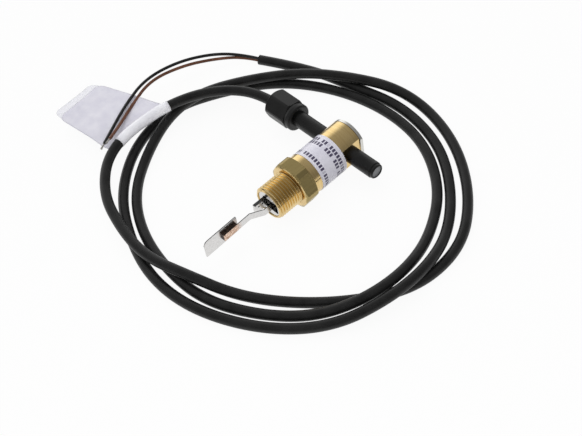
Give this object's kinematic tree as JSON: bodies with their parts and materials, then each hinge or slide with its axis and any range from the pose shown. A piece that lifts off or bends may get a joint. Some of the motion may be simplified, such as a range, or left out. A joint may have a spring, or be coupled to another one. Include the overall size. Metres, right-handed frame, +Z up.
{
  "type": "paddle flow switch",
  "caption": "Screw-in paddle flow switch: brass body with threaded process end, hinged magnetic paddle, reed contact in a cross tube, cable gland and coiled cable with bare cores",
  "frame": {"origin": "centre of the hexagon's sealing face, on the axis of the brass body and its process thread", "axes": "+X runs out of the process thread along the paddle, +Y along the reed tube to its free end, +Z up when the switch lies on a flat of its hexagon"},
  "size_m": [0.1961, 0.2559, 0.027],
  "materials": {
    "brass": "machined",
    "plated_steel": "nickel plated, turned",
    "stainless": "bright stainless",
    "magnet": "plated magnet",
    "label_paper": "matt, bare of print",
    "black_plastic": "fine moulded grain",
    "grey_resin": "cast resin",
    "glass": "clear",
    "lead_wire": "tinned copper",
    "core_insulation": "smooth PVC",
    "core_insulation_brown": "smooth PVC",
    "seal_rubber": "moulded",
    "cable_sheath": "satin PVC"
  },
  "bodies": {
    "housing": {"body": "brass", "end_cover": "plated_steel", "cover_screws": "plated_steel", "clamp_screw": "stainless", "body_label": "label_paper", "mouth_insert": "stainless", "pivot_bracket": "stainless", "pivot_pin": "stainless", "reset_magnet": "magnet"},
    "paddle": {"paddle_lever": "stainless", "switching_magnet": "magnet", "paddle_arm": "stainless", "arm_rivets": "stainless", "blade_spacer": "stainless", "paddle_blade": "stainless"},
    "reed_unit": {"reed_tube": "black_plastic", "tube_end_plug": "black_plastic", "end_resin": "grey_resin", "reed_carrier": "grey_resin", "reed_switch": "glass", "reed_leads": "lead_wire", "inner_cores": "core_insulation", "gland_body": "black_plastic", "gland_washer": "seal_rubber", "gland_nut": "black_plastic", "gland_seal": "seal_rubber", "cable": "cable_sheath", "core_black": "core_insulation", "core_brown": "core_insulation_brown", "core_strands": "lead_wire", "cable_tag": "label_paper"}
  },
  "joints": [
    {"name": "paddle_swing", "type": "hinge", "parent": "housing", "child": "paddle", "pos_m": [0.0005, 0, 0], "axis": [0, 0, 1], "range_deg": [0, 14], "stiffness_Nm_per_rad": 0.01, "springref_deg": -8.59},
    {"name": "contact_tube_slide", "type": "slide", "parent": "housing", "child": "reed_unit", "axis": [0, 1, 0], "range_m": [-0.003, 0.003]}
  ]
}
